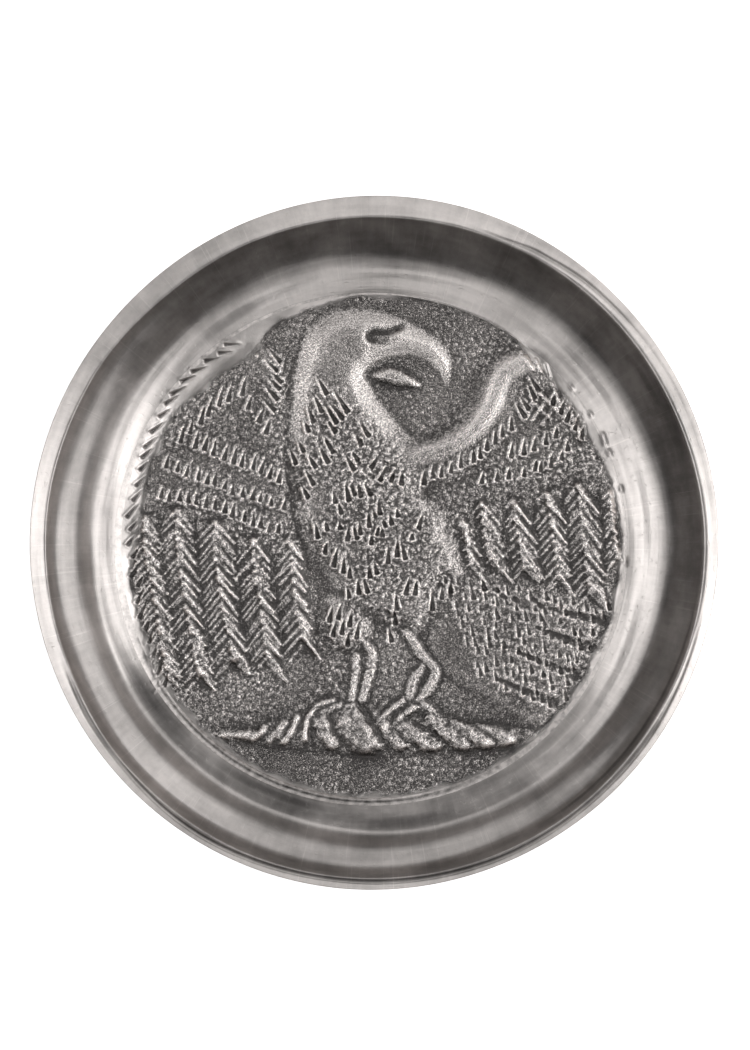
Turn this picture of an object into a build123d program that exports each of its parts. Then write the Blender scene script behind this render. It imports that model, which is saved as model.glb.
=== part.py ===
from build123d import *
import os
from math import atan2, cos, degrees, hypot, radians, sin

# Shallow cast dish with an eagle relief set in its floor. Millimetres, +Z up.
# The origin is the middle of the dish on the surface that it stands on.
# The eagle's head points to +Y, and it looks towards +X.

# ---- driving dimensions ----------------------------------------------------------------

OUTER_DIAMETER = 110.0
HEIGHT = 15.0

LIP_WIDTH = 3.7              # from the outer edge to the lip's sharp inner edge
LIP_CROWN = 0.6              # the rolled lip's middle stands this far above its inner edge
LIP_ROUND = 0.5              # the lip's outer edge is rounded over this width
WALL_THICKNESS = 2.3
STEEP_WALL_WIDTH = 6.2       # concave part of the wall, measured along the radius
SLOPE_RISE = 2.2             # gentle slope between the relief and the concave wall
SLOPE_MARGIN = 0.3           # flat ring between the relief disc and the foot of that slope

FOOT_RADIUS = 38.0
FOOT_WIDTH = 3.2
FOOT_HEIGHT = 1.4
FOOT_DRAFT = 0.6             # how far the foot ring's outer face leans outwards
FLOOR_THICKNESS = 2.2

MEDALLION_RADIUS = 40.3
MEDALLION_THICKNESS = 1.75
MEDALLION_CENTRE = (-0.2, -0.6)      # slightly off the lip's centre
SOLDER_FILM = 0.15
SEAM_WIDTH = 0.75                    # mean width of the ring of solder round the disc
SEAM_OFFSET = 0.6                    # the recess sits this far off the disc's centre
SEAM_DIRECTION = 234                 # degrees from +X: where the seam is widest
SEAM_DEPTH = 0.3                     # the solder stands this far below the disc's face

WING_HEIGHT = 0.8
BODY_HEIGHT = 1.7
HEAD_HEIGHT = 2.1
HEAD_MIDDLE = (-3, 31)
HEAD_DOME = 60.0                     # radius that the side of the head is domed to
EYE_MIDDLE = (1.1, 33.0)
EYE_RADIUS = 0.7
BROW_RADIUS = 1.5                    # hollow in which the eye sits, under the brow
LEG_RADIUS = 0.75
RIDGE_RADIUS = 1.5
ROCK_HEIGHT = 1.1
CUT_WIDTH = 1.0                      # feather cuts at their bottom end, half as deep as wide

# ---- levels and radii that follow ------------------------------------------------------

OUTER_RADIUS = OUTER_DIAMETER / 2
LIP_INNER = OUTER_RADIUS - LIP_WIDTH
STEEP_FOOT = LIP_INNER - STEEP_WALL_WIDTH

UNDERSIDE_Z = FOOT_HEIGHT
RECESS_Z = UNDERSIDE_Z + FLOOR_THICKNESS
GROUND_Z = RECESS_Z + SOLDER_FILM + MEDALLION_THICKNESS
SLOPE_TOP_Z = GROUND_Z + SLOPE_RISE
WING_LEVEL = GROUND_Z + WING_HEIGHT

RECESS_RADIUS = MEDALLION_RADIUS + SEAM_WIDTH
RECESS_CENTRE = (
    MEDALLION_CENTRE[0] + SEAM_OFFSET * cos(radians(SEAM_DIRECTION)),
    MEDALLION_CENTRE[1] + SEAM_OFFSET * sin(radians(SEAM_DIRECTION)),
)


# ---- the dish --------------------------------------------------------------------------

def make_dish():
    """Turned dish: rolled lip, concave wall, gentle slope, flat floor and a foot ring."""
    lip_z = HEIGHT - LIP_CROWN
    under_z = lip_z - WALL_THICKNESS
    slope_start = MEDALLION_RADIUS + SLOPE_MARGIN
    foot_inner = FOOT_RADIUS - FOOT_WIDTH

    # The outside follows the inside at about the wall's thickness.
    foot_root = (FOOT_RADIUS + FOOT_DRAFT, UNDERSIDE_Z + 0.2)
    wall_foot = (STEEP_FOOT + WALL_THICKNESS / 2, SLOPE_TOP_Z - WALL_THICKNESS * 1.2)
    wall_belly = (LIP_INNER + WALL_THICKNESS / 4, under_z - WALL_THICKNESS * 1.25)
    lip_middle_z = lip_z - 0.8
    lip_half = 0.9
    lip_below = (OUTER_RADIUS - LIP_ROUND, lip_middle_z - lip_half)
    lip_above = (OUTER_RADIUS - LIP_ROUND, lip_middle_z + lip_half)
    wall_hollow = (STEEP_FOOT + STEEP_WALL_WIDTH * 0.68, SLOPE_TOP_Z + STEEP_WALL_WIDTH * 0.44)

    profile = [
        Line((0, UNDERSIDE_Z), (foot_inner, UNDERSIDE_Z)),
        Line((foot_inner, UNDERSIDE_Z), (foot_inner, 0)),
        Line((foot_inner, 0), (FOOT_RADIUS, 0)),
        Line((FOOT_RADIUS, 0), foot_root),
        Line(foot_root, wall_foot),
        ThreePointArc(wall_foot, wall_belly, lip_below),
        ThreePointArc(lip_below, (OUTER_RADIUS, lip_middle_z), lip_above),
        ThreePointArc(lip_above, (OUTER_RADIUS - LIP_WIDTH / 2, HEIGHT), (LIP_INNER, lip_z)),
        ThreePointArc((LIP_INNER, lip_z), wall_hollow, (STEEP_FOOT, SLOPE_TOP_Z)),
        Line((STEEP_FOOT, SLOPE_TOP_Z), (slope_start, GROUND_Z)),
        Line((slope_start, GROUND_Z), (0, GROUND_Z)),
        Line((0, GROUND_Z), (0, UNDERSIDE_Z)),
    ]
    half_section = Plane.XZ * make_face(Curve() + profile)
    dish = revolve(half_section, Axis.Z)
    recess_depth = HEIGHT - RECESS_Z
    recess = Pos(*RECESS_CENTRE, RECESS_Z) * bottom_cylinder(RECESS_RADIUS, recess_depth)
    return dish - recess


def bottom_cylinder(radius, height):
    """Cylinder that stands on its own origin."""
    return Cylinder(radius, height, align=(Align.CENTER, Align.CENTER, Align.MIN))


# ---- the seam --------------------------------------------------------------------------

def make_seam():
    """Soft solder: a film under the disc and an eccentric ring round its edge."""
    seam_height = SOLDER_FILM + MEDALLION_THICKNESS - SEAM_DEPTH
    filled = Pos(*RECESS_CENTRE, RECESS_Z) * bottom_cylinder(RECESS_RADIUS, seam_height)
    disc_space = Pos(*MEDALLION_CENTRE, RECESS_Z + SOLDER_FILM) * bottom_cylinder(MEDALLION_RADIUS, HEIGHT)
    return filled - disc_space


# ---- relief: outlines, all in dish coordinates -----------------------------------------

LEFT_WING = [
    (-17, 31.5), (-24, 30.5), (-30, 26), (-34.4, 19), (-38.5, 10), (-39.3, 0), (-37.8, -11),
    (-34, -20.5), (-30, -22.3), (-22, -19.7), (-12, -16.5), (-9, -8), (-12.5, 3), (-13.5, 16), (-15, 25),
]
RIGHT_WING = [
    (2, 16), (9, 15.8), (14, 18.3), (17, 23), (20, 29), (24.5, 29.9), (28.8, 26.2), (34, 19), (37.6, 9),
    (38.7, -1), (36.6, -9.5), (27, -8), (14, -5), (8, -2), (5, 8),
]
LOWER_FEATHERS = [
    (8, -6), (20, -7.5), (36.8, -11.5), (33.5, -20), (29, -26.8), (22, -27.5), (14, -22.5), (9, -17),
]
BODY = [
    (-12.8, 27), (-14, 18), (-13.6, 8), (-11, 0), (-6.5, -7.5), (-4, -11), (3, -14), (9, -11), (13, -4.5),
    (11.5, 3), (8, 8), (5, 14), (1.5, 20), (-1, 25),
]
HEAD = [
    (-13, 24), (-12, 31), (-8, 36.3), (-2, 37.4), (4.5, 35.6), (10.3, 32.3), (12.2, 28.5), (11.7, 25.6),
    (9.8, 27.7), (5.5, 28.6), (0.3, 27.2), (-3, 21.5),
]
LOWER_BEAK = ((3.2, 26.8), 8.4, 2.2, -16)     # middle, length, width, direction
ROCKS = [
    (-25.3, -30.8), (-17, -28.6), (-10, -25.3), (-2, -25.4), (7, -25), (14, -28.3), (24.5, -31.2),
    (20, -32.4), (9, -33.4), (-1, -34), (-12, -32.8),
]
SHOULDER_LINE = [(3.5, 14.3), (9, 13.9), (13.2, 15.6), (16.8, 19.6), (18.6, 24.4), (21, 27.6), (24.4, 28.4)]

BREAST_MIDDLE = (-1.5, 4)
BREAST_DOME = 160.0          # radius that the breast's face is domed to

# shanks and toes: start, end
LEG_BARS = [
    ((-3.0, -17.0), (-3.7, -24.5)), ((-1.0, -16.5), (-1.9, -24.8)), ((8.2, -15.5), (9.2, -21.0)),
    ((9.2, -21.0), (7.6, -25.0)), ((6.9, -19.8), (6.0, -24.5)), ((-3.7, -24.5), (-6.4, -28.0)),
    ((-1.9, -24.8), (-0.6, -28.0)), ((7.6, -25.0), (10.9, -28.0)), ((6.0, -24.5), (3.6, -27.6)),
]

# thighs and stones: middle, length, width, direction in degrees from +X
THIGHS = [((-4.6, -12.4), 11.0, 6.4, 62), ((7.4, -11.8), 10.5, 5.6, 100)]
STONES = [
    ((-22.6, -30.6), 5.0, 1.9, 12), ((-18.6, -30.4), 3.6, 2.0, 50), ((-15.0, -29.6), 4.6, 2.2, 48),
    ((-12.0, -30.4), 3.8, 2.4, 62), ((-10.6, -26.8), 5.2, 2.6, 68), ((-7.0, -27.2), 6.2, 3.0, 55),
    ((-4.2, -28.0), 6.4, 3.0, 58), ((-1.6, -31.4), 5.4, 3.6, 128), ((1.6, -28.8), 4.6, 2.4, 66),
    ((4.4, -28.4), 5.2, 2.6, 60), ((8.4, -31.0), 4.6, 3.2, 125), ((9.6, -27.4), 4.2, 2.2, 130),
    ((13.4, -31.0), 4.8, 2.9, 125), ((17.2, -30.8), 4.6, 2.8, 125), ((20.8, -30.8), 4.4, 2.6, 125),
]

# rows of feather cuts: first and last place, how many, length, tip's lean from +Y (+ is towards +X)
WING_ROWS = [
    ((-31.0, 16.4), (-23.0, 23.2), 7, 3.2, 14), ((-28.7, 14.8), (-15.6, 9.6), 9, 3.0, 12),
    ((-33.2, 11.4), (-15.2, 5.4), 11, 2.4, 10), ((-34.2, 6.8), (-15.4, 1.4), 12, 2.4, 10),
    ((8.8, 9.8), (18.8, 15.4), 9, 2.2, -4), ((20.6, 16.6), (25.6, 23.6), 5, 3.0, -34),
    ((17.2, 9.8), (23.4, 10.4), 4, 2.4, 0), ((22.0, 13.2), (31.0, 15.0), 6, 2.8, -12),
    ((11.0, -9.6), (33.6, -13.4), 11, 2.4, -12), ((11.4, -14.2), (33.0, -18.0), 10, 2.4, -12),
    ((12.6, -18.8), (30.6, -22.4), 9, 2.4, -14),
]
BODY_ROWS = [
    ((-10.8, 22.8), (-4.8, 18.8), 4, 3.2, -30), ((-12.0, 18.0), (-2.8, 14.8), 6, 3.2, -26),
    ((-12.2, 13.2), (-0.6, 10.8), 7, 3.2, -20), ((-11.4, 8.0), (0.8, 6.6), 7, 3.2, -15),
    ((-9.0, 1.0), (5.2, 2.2), 8, 3.0, -10), ((-6.8, -4.2), (8.6, -3.2), 8, 3.0, -4),
    ((-4.0, -8.6), (10.6, -9.0), 8, 3.0, -6),
]

# long feathers: root, tip; each has a shaft and barbs to both sides
LONG_FEATHERS = [
    ((-36.6, 4.2), (-33.6, -20.0)), ((-31.6, 3.6), (-28.4, -20.0)), ((-25.6, 1.2), (-22.4, -18.0)),
    ((-19.6, -0.8), (-17.4, -16.6)), ((-13.9, -2.2), (-11.6, -14.4)), ((16.8, 5.0), (19.4, -4.4)),
    ((22.4, 5.8), (25.6, -6.0)), ((27.6, 7.2), (31.6, -6.6)), ((33.0, 9.0), (36.4, -8.0)),
]
# cuts round the left wing's outer edge, first and last: direction from the centre, and the tip's lean
EDGE_FIRST = (126, 64)
EDGE_LAST = (208, 14)
EDGE_COUNT = 24
EDGE_RADIUS = 39.6
EDGE_LENGTH = 2.8

BARB_PITCH = 2.2
BARB_LENGTH = 2.6
BARB_WIDTH = 0.7
BARB_ANGLE = 48              # degrees between a barb and the shaft


# ---- relief: helpers -------------------------------------------------------------------

def flat_pad(points, height):
    """Raised shape on the ground, inside a smooth outline, with straight sides and a flat top."""
    root_depth = MEDALLION_THICKNESS / 2
    face = make_face(Spline(*points, periodic=True))
    return Pos(0, 0, GROUND_Z - root_depth) * extrude(face, root_depth + height)


def domed_pad(points, middle, height, dome_radius):
    """The same, with a top that falls away from its middle."""
    dome = Pos(*middle, GROUND_Z + height - dome_radius) * Sphere(dome_radius)
    return flat_pad(points, height) & dome


def round_bar(start, end, radius, z):
    """Bar with hemispherical ends, lying at height z."""
    dx = end[0] - start[0]
    dy = end[1] - start[1]
    length = hypot(dx, dy)
    place = Pos(*start, z) * Rot(Z=degrees(atan2(dy, dx))) * Rot(Y=90)
    bar = place * bottom_cylinder(radius, length)
    return [bar, Pos(*start, z) * Sphere(radius), Pos(*end, z) * Sphere(radius)]


def leaf_lump(middle, length, width, direction, top):
    """Pointed lump: an arc turned about its own chord, sunk until its top is that far above the ground."""
    half = length / 2
    arc = ThreePointArc((-half, 0), (0, width / 2), (half, 0))
    spindle = revolve(make_face(Curve() + [arc, Line((half, 0), (-half, 0))]), Axis.X)
    lump = Pos(*middle, GROUND_Z + top - width / 2) * Rot(Z=direction) * spindle
    above_root = Pos(*middle, GROUND_Z - MEDALLION_THICKNESS / 2) * bottom_cylinder(length, HEIGHT)
    return lump & above_root


def rock(middle, length, width, direction):
    """Facetted stone: four-sided, pointed at both ends, with a short ridge on top."""
    # The root is below the ground, so its corners lie outside the length and width seen at the ground.
    reach = length * 0.8
    half_width = width * 0.8
    shoulder = length * 0.2
    root = -MEDALLION_THICKNESS / 2
    top = ROCK_HEIGHT + width * 0.2
    stone = ConvexPolyhedron(
        [
            (-reach, 0, root), (-shoulder, half_width, root), (reach, 0, root),
            (shoulder, -half_width, root), (-shoulder, 0, top), (shoulder * 1.5, 0, top * 0.9),
        ]
    )
    return Pos(*middle, GROUND_Z) * Rot(Z=direction) * stone


def feather_cut(place, length, lean, level, width=CUT_WIDTH):
    """Wedge that cuts one mark: pointed at its tip, wide and deep at its bottom end."""
    above = 1.5              # the wedge reaches this far above the cut face
    depth = width / 2
    spread = depth + above
    wedge = ConvexPolyhedron(
        [(0, 0, -depth), (-spread, 0, above), (spread, 0, above), (0, length, 0), (0, length, above)]
    )
    return Pos(*place, level) * Rot(Z=-lean) * wedge


def steps(start, end, count):
    """Evenly spaced places from start to end, both included."""
    for i in range(count):
        t = i / (count - 1)
        yield start[0] + (end[0] - start[0]) * t, start[1] + (end[1] - start[1]) * t


# ---- relief: the bird and the rocks ----------------------------------------------------

def make_wings():
    """Both wings, the feathers below the right one and the smooth ridge of its shoulder."""
    left = flat_pad(LEFT_WING, WING_HEIGHT)
    right = flat_pad(RIGHT_WING, WING_HEIGHT)
    lower = flat_pad(LOWER_FEATHERS, WING_HEIGHT * 0.8)
    line = Spline(*SHOULDER_LINE)
    ridge = sweep((line ^ 0) * Circle(RIDGE_RADIUS), path=line)
    return [left, right, lower, Pos(0, 0, GROUND_Z) * ridge]


def make_body():
    """Neck, breast and thighs."""
    body = domed_pad(BODY, BREAST_MIDDLE, BODY_HEIGHT, BREAST_DOME)
    thighs = [leaf_lump(*thigh, BODY_HEIGHT * 0.9) for thigh in THIGHS]
    return [body, *thighs]


def make_head():
    """Head in profile with a hooked beak, a parted lower beak and a set-in eye."""
    head = domed_pad(HEAD, HEAD_MIDDLE, HEAD_HEIGHT, HEAD_DOME)
    brow_hollow = Pos(*EYE_MIDDLE, GROUND_Z + HEAD_HEIGHT + BROW_RADIUS * 0.6) * Sphere(BROW_RADIUS)
    eye = Pos(*EYE_MIDDLE, GROUND_Z) * bottom_cylinder(EYE_RADIUS, HEAD_HEIGHT)
    return [head - brow_hollow, eye, rock(*LOWER_BEAK)]


def make_legs():
    """Two-boned shanks and the toes that grip the rocks."""
    bars = []
    for start, end in LEG_BARS:
        bars += round_bar(start, end, LEG_RADIUS, GROUND_Z + LEG_RADIUS * 0.6)
    return bars


def make_rocks():
    """Low mound with leaf-shaped rocks."""
    mound = flat_pad(ROCKS, ROCK_HEIGHT * 0.3)
    return [mound] + [rock(*stone) for stone in STONES]


def body_level(place):
    """Height of the breast's domed face at a place."""
    off_middle = hypot(place[0] - BREAST_MIDDLE[0], place[1] - BREAST_MIDDLE[1])
    return GROUND_Z + BODY_HEIGHT - off_middle ** 2 / (2 * BREAST_DOME)


def row_cuts():
    """Feather cuts in rows across the wings and the body."""
    cuts = []
    for start, end, count, length, lean in WING_ROWS:
        cuts += [feather_cut(place, length, lean, WING_LEVEL) for place in steps(start, end, count)]
    for start, end, count, length, lean in BODY_ROWS:
        cuts += [feather_cut(place, length, lean, body_level(place)) for place in steps(start, end, count)]
    return cuts


def edge_cuts():
    """Cuts round the outer edge of the left wing, which turn steeper towards its lower end."""
    cuts = []
    for direction, lean in steps(EDGE_FIRST, EDGE_LAST, EDGE_COUNT):
        place = (EDGE_RADIUS * cos(radians(direction)), EDGE_RADIUS * sin(radians(direction)))
        cuts.append(feather_cut(place, EDGE_LENGTH, lean, WING_LEVEL))
    return cuts


def barb_cuts():
    """Barbs to both sides of every long feather's shaft."""
    cuts = []
    for root, tip in LONG_FEATHERS:
        run = hypot(tip[0] - root[0], tip[1] - root[1])
        shaft_lean = degrees(atan2(root[0] - tip[0], root[1] - tip[1]))
        for place in steps(root, tip, round(run / BARB_PITCH)):
            for side in (-1, 1):
                lean = shaft_lean + side * BARB_ANGLE
                bottom = (
                    place[0] - BARB_LENGTH * sin(radians(lean)),
                    place[1] - BARB_LENGTH * cos(radians(lean)),
                )
                cuts.append(feather_cut(bottom, BARB_LENGTH * 0.9, lean, WING_LEVEL, BARB_WIDTH))
    return cuts


def make_medallion():
    """Rough-cast disc with the whole relief in one piece."""
    floor_z = GROUND_Z - MEDALLION_THICKNESS
    disc = Pos(*MEDALLION_CENTRE, floor_z) * bottom_cylinder(MEDALLION_RADIUS, MEDALLION_THICKNESS)
    relief = disc
    for group in (make_wings(), make_body(), make_rocks(), make_legs()):
        relief = relief.fuse(*group)
    return relief.cut(*row_cuts(), *edge_cuts(), *barb_cuts()).fuse(*make_head())


# ---- build -----------------------------------------------------------------------------

os.makedirs("parts", exist_ok=True)
export_step(make_dish(), "parts/dish_body.step")
export_step(make_seam(), "parts/solder_seam.step")
export_step(make_medallion(), "parts/relief_medallion.step")
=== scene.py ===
"""A small cast pewter dish with an eagle in low relief, seen from straight above in soft light.

The modelling is done in millimetres on one height field, so that the relief, the joint round it and the
dish's own slope meet flush. Every top surface in the scene is read from that field.
"""

import math

import bpy
import numpy as np
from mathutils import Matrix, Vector


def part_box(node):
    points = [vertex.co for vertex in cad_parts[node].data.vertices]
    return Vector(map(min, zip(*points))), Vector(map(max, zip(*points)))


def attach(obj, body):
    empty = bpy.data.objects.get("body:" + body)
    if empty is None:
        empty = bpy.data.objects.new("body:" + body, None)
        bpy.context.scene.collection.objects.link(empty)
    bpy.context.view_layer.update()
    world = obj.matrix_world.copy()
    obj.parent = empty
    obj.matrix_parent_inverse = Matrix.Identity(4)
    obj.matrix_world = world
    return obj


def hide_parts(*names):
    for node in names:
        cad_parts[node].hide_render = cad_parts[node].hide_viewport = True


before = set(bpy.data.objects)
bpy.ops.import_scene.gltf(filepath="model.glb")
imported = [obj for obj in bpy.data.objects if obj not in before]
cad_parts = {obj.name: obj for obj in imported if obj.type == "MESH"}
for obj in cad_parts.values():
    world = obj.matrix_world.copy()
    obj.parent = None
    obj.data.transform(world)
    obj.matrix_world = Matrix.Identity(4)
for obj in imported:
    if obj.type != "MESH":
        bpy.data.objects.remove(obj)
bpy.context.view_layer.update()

MM = 0.001

# ------------ driving dimensions, mm, from the CAD frame


def box_mm(node):
    """Lowest and highest corner of a CAD node, in mm."""
    low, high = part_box(node)
    return np.array(low) / MM, np.array(high) / MM


dish_low, dish_high = box_mm("dish_body")
relief_low, relief_high = box_mm("relief_medallion")
seam_low, seam_high = box_mm("solder_seam")

OUTER_RADIUS = (dish_high[0] - dish_low[0]) / 2
HEIGHT = dish_high[2] - dish_low[2]
RELIEF_CENTRE = (relief_low[:2] + relief_high[:2]) / 2
RELIEF_RADIUS = (relief_high[0] - relief_low[0]) / 2
RELIEF_BOTTOM = relief_low[2]
SEAM_CENTRE = (seam_low[:2] + seam_high[:2]) / 2
SEAM_RADIUS = (seam_high[0] - seam_low[0]) / 2
RECESS_Z = seam_low[2]

# Sizes inside those boxes: the relief disc under its plain ground, the underside within the foot ring, and
# the ring itself.
GROUND_THICKNESS = 1.75
GROUND_Z = RELIEF_BOTTOM + GROUND_THICKNESS
UNDERSIDE_Z = 1.4
FOOT_RADIUS = 38.0

# ------------ small numeric tools


def ramp(values, low, high):
    """0 below low, 1 above high and a smooth step between."""
    t = np.clip((values - low) / (high - low), 0, 1)
    return t * t * (3 - 2 * t)


def around(angle, stations):
    """A value that varies smoothly with the angle, given as (degrees, value) pairs once round the dish."""
    degrees = np.array([s[0] for s in stations], float)
    values = np.array([s[1] for s in stations], float)
    turn = np.degrees(angle) % 360
    degrees = np.concatenate([[degrees[-1] - 360], degrees, [degrees[0] + 360]])
    values = np.concatenate([[values[-1]], values, [values[0]]])
    place = np.searchsorted(degrees, turn, side="right") - 1
    place = np.clip(place, 0, len(degrees) - 2)
    t = (turn - degrees[place]) / (degrees[place + 1] - degrees[place])
    t = t * t * (3 - 2 * t)
    return values[place] * (1 - t) + values[place + 1] * t


# ------------ the bowl: everything but the relief

# The bowl is drawn by how steep it is at each radius and direction; its height is the sum of those slopes.
# Each table gives (degrees counter-clockwise from +X, value) stations once round the hand-finished dish.
# Radius where the rough relief ends and the buffed slope starts.
BUFF_START = (
    (0, 39.2), (13, 39), (25, 38.1), (46, 38.6), (60, 39.9), (90, 39.6), (113, 38.4), (125, 35.8),
    (136, 36.8), (150, 38), (165, 37.8), (174, 37.5), (190, 39.4), (206, 39.4), (218, 40.4), (300, 40.4),
    (335, 39.6),
)
# How far the gentle slope rises from there to the foot of the steep wall.
SLOPE_RISE = (
    (0, 3.2), (60, 2.5), (120, 2.5), (165, 3), (192, 2.4), (224, 0.6), (262, 0.4), (285, 0.8), (312, 1.5),
    (340, 2.8),
)
WALL_FOOT = (
    (0, 47.2), (30, 46.4), (60, 46.2), (90, 45.6), (130, 45.2), (180, 45.5), (215, 46.2), (250, 46.8),
    (285, 47.6), (330, 47.5),
)
LIP_EDGE = (
    (0, 52.9), (30, 52.4), (60, 52.3), (90, 52), (110, 51.8), (130, 51.5), (150, 52.1), (180, 52.5),
    (200, 52.6), (222, 53.3), (250, 53.7), (280, 53.6), (300, 53.4), (330, 52.9),
)
# How gradually the wall rolls over into the lip.
LIP_ROLL = (
    (0, 0.9), (35, 0.7), (60, 0.6), (100, 0.25), (130, 0.1), (160, 0.25), (200, 0.3), (250, 0.4),
    (300, 0.5),
)
# A worn ledge on the wall: its strength, then the radius of its middle.
LEDGE = (
    (0, 0.12), (40, 0), (112, 0), (140, 0.4), (165, 0.5), (188, 0.75), (225, 0.9), (310, 0.85),
    (338, 0.5), (350, 0.3),
)
LEDGE_RADIUS = ((0, 50.4), (150, 49.6), (190, 49.6), (225, 50.2), (265, 50.8), (300, 50.4))
# A crease along the lip: its radius, then its depth.
CREASE_RADIUS = (
    (20, 53.8), (50, 53.4), (60, 53), (68, 52.4), (200, 53), (215, 53.4), (240, 54.1), (265, 53.9),
    (290, 53.9), (320, 53.5), (345, 53.2),
)
CREASE_DEPTH = (
    (15, 0), (35, 0.03), (50, 0.16), (64, 0.14), (76, 0), (198, 0), (212, 0.2), (245, 0.34), (275, 0.36),
    (318, 0.26), (340, 0.08), (350, 0),
)
# How much dark patina and painted shade the steep wall carries; the painted shade is heaviest from 0 to 120
# degrees round the dish.
WALL_PATINA_AND_SHADE = (
    (0, 0.9), (60, 0.8), (118, 0.75), (150, 0.45), (185, 0.3), (210, 0.3), (262, 0.4), (300, 0.3),
    (335, 0.6),
)
# Dark stains left by the wheel: direction, radius, half their length in degrees, half their width, strength.
STAINS = (
    (248, 43.3, 17, 0.95, 1), (218, 43.6, 10, 2.4, 0.9), (276, 45.2, 10, 1.5, 1),
    (305, 42.2, 22, 1, 0.55), (240, 47.5, 34, 1.2, 0.25), (322, 48, 32, 0.6, 0.5),
    (255, 52.3, 56, 0.5, 0.4), (330, 52, 30, 0.3, 0.9), (200, 46.4, 14, 1, 0.5), (160, 46.9, 34, 1, 0.5),
    (238, 41.6, 13, 0.35, 1), (262, 43.6, 46, 3.4, 0.55), (190, 49.6, 42, 2.4, 0.5),
    (270, 50.4, 44, 1.8, 0.3), (50, 45.5, 9, 1.6, 0.25), (104, 44.4, 8, 1.4, 0.25),
    (125, 41.5, 6, 1.5, 0.25), (30, 50.4, 8, 1, 1),
)
# Radius of the dish's outer edge, which isn't quite round.
OUTER_EDGE = ((20, 54.8), (80, 55.3), (140, 54.75), (185, 54.95), (255, 55.4), (310, 55), (345, 54.8))
LEDGE_SLOPE = 0.52
LEDGE_INNER_WIDTH = 2.9
LEDGE_OUTER_WIDTH = 2.0
LIP_SLOPE = 0.3
CREASE_WIDTH = 0.3
# Height of the faint waves that hand finishing left on the slope and the wall.
WAVINESS = 0.02

# Directions and radii of the bowl's table: the radii run from under the relief to past the outer edge.
SEGMENTS = 1440
ANGLES = np.linspace(0, 2 * np.pi, SEGMENTS, endpoint=False)
RADIAL_STEP = 0.05
RADII = np.arange(34.0, 55.8, RADIAL_STEP)


def slow_waves(turn, radius, seed, size):
    """A gentle seeded unevenness of the hand-finished wall, mostly round the dish; spread about 1."""
    random = np.random.default_rng(seed)
    total = 0
    for _ in range(7):
        rounds, across = random.integers(1, 9), random.uniform(-1, 1) * 2 * np.pi / size
        total = total + np.cos(rounds * turn + across * radius + random.uniform(0, 2 * np.pi))
    return total / 2


def bowl_table():
    """Height of the dish's upper surface at every direction and radius of the table, and its patina together
    with the painted shade of the steep wall.
    """
    turn, radius = ANGLES[:, None], RADII[None, :]
    start, foot, lip = (around(turn, stations) for stations in (BUFF_START, WALL_FOOT, LIP_EDGE))
    foot = foot + 0.15 * slow_waves(turn, radius, 3, 12.0)
    on_wall = ramp(radius, foot - 1.5, foot + 1.5)
    roll = around(turn, LIP_ROLL)
    below_lip = 1 - ramp(radius, lip - 0.1 - roll, lip + 0.05)
    ledge_middle = around(turn, LEDGE_RADIUS) + 0.1 * slow_waves(turn, radius, 4, 15.0)
    from_middle = radius - ledge_middle
    ledge_width = np.where(from_middle < 0, LEDGE_INNER_WIDTH, LEDGE_OUTER_WIDTH)
    ledge = around(turn, LEDGE) * np.exp(-((from_middle / ledge_width) ** 2))
    gentle = around(turn, SLOPE_RISE) / (foot - start) * (1 - on_wall)
    gentle = gentle * ramp(radius, start - 0.3, start + 0.6)
    gentle = gentle * (1.2 - 0.4 * np.clip((radius - start) / (foot - start), 0, 1))
    gentle = gentle * (1 + 0.12 * slow_waves(turn, radius, 5, 2.6)) + LEDGE_SLOPE * ledge * below_lip
    steep = (0.75 + 0.9 * (radius - foot) / (lip - foot)) * on_wall * below_lip * (1 - ledge) ** 2.5
    soft = np.cumsum(gentle, 1) * RADIAL_STEP
    wall = np.cumsum(steep, 1) * RADIAL_STEP
    rise = (HEIGHT - GROUND_Z - soft[:, -1:]) / wall[:, -1:]
    fall = np.cumsum(ramp(radius, lip - 0.1, lip + 0.4), 1) * RADIAL_STEP * LIP_SLOPE
    height = GROUND_Z + soft + rise * wall - fall
    crease = (radius - around(turn, CREASE_RADIUS)) / CREASE_WIDTH
    depth = around(turn, CREASE_DEPTH)
    height = height - depth * np.exp(-(crease**2)) + 0.3 * depth * np.exp(-((crease + 2.6) ** 2))
    height = height + WAVINESS * slow_waves(turn, radius, 8, 2.6) * ramp(radius, start, start + 3)
    # Patina and painted shade on the steep wall, heaviest on the side from 0 to 120 degrees and a little
    # lighter on the ledge.
    patina_and_shade = around(turn, WALL_PATINA_AND_SHADE) * ramp(radius, foot - 2.2, foot - 0.2) * below_lip * (1 - 0.25 * ledge)
    patina_and_shade = np.maximum(patina_and_shade, np.clip(depth * 3, 0, 1) * np.exp(-(crease**2)))
    for direction, middle, half_turn, half_width, strength in STAINS:
        off = (np.degrees(turn) - direction + 180) % 360 - 180
        middle = middle + 0.15 * slow_waves(turn, radius, 6, 9.0)
        stain = np.exp(-((off / half_turn) ** 4)) * np.exp(-(np.abs((radius - middle) / half_width) ** 3))
        patina_and_shade = np.maximum(patina_and_shade, strength * stain)
    return height, np.clip(patina_and_shade, 0, 1)


BOWL, BOWL_PATINA_AND_SHADE = bowl_table()


def bilinear(table, row, next_row, column, t_row, t_column):
    """Value between four neighbours: the two rows, and the column with the one after it."""
    low = table[row, column] * (1 - t_column) + table[row, column + 1] * t_column
    high = table[next_row, column] * (1 - t_column) + table[next_row, column + 1] * t_column
    return low * (1 - t_row) + high * t_row


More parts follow.
